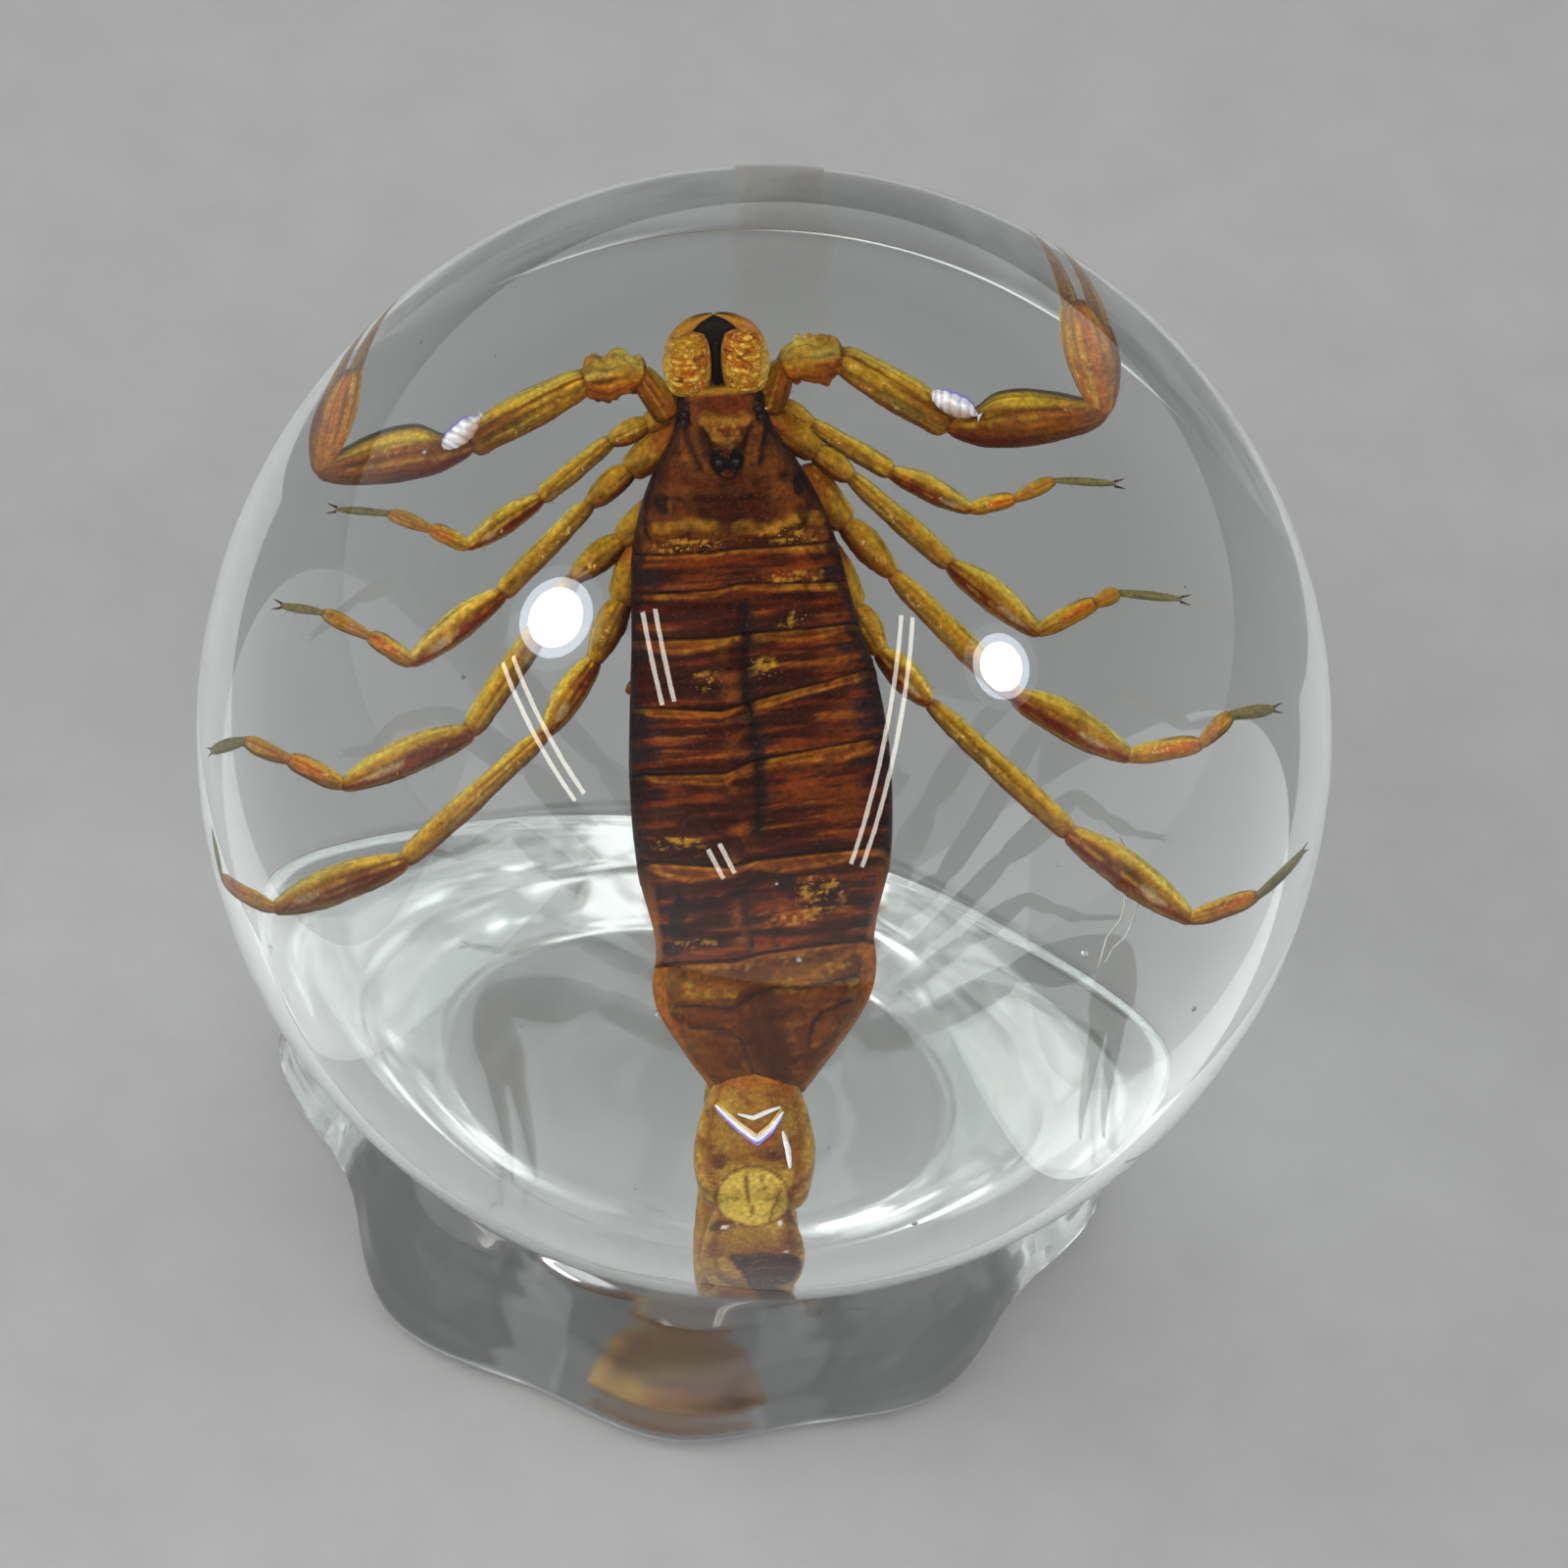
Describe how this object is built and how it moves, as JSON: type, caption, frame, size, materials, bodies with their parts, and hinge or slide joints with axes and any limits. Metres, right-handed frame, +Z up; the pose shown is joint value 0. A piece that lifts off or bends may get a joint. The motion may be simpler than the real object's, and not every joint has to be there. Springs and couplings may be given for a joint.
{
  "type": "scorpion in resin globe",
  "caption": "Dried golden scorpion sealed in a clear resin globe that rests on a clear ring stand with soft lobes; a desk paperweight and display specimen.",
  "frame": {"origin": "centre of the stand's underside, on the surface that the object stands on", "axes": "+Z up through the globe's centre, -Y towards the viewer of the front, where the scorpion's back faces forward and up"},
  "size_m": [0.0598, 0.0598, 0.0629],
  "materials": {
    "chitin": "translucent amber to mahogany cuticle, wrinkled, satin",
    "globe_resin": "water-clear cast resin, polished",
    "stand_resin": "clear moulded acrylic, polished"
  },
  "bodies": {
    "root": {"scorpion": "chitin", "globe_upper_half": "globe_resin", "globe_lower_half": "globe_resin", "stand": "stand_resin"}
  },
  "joints": []
}
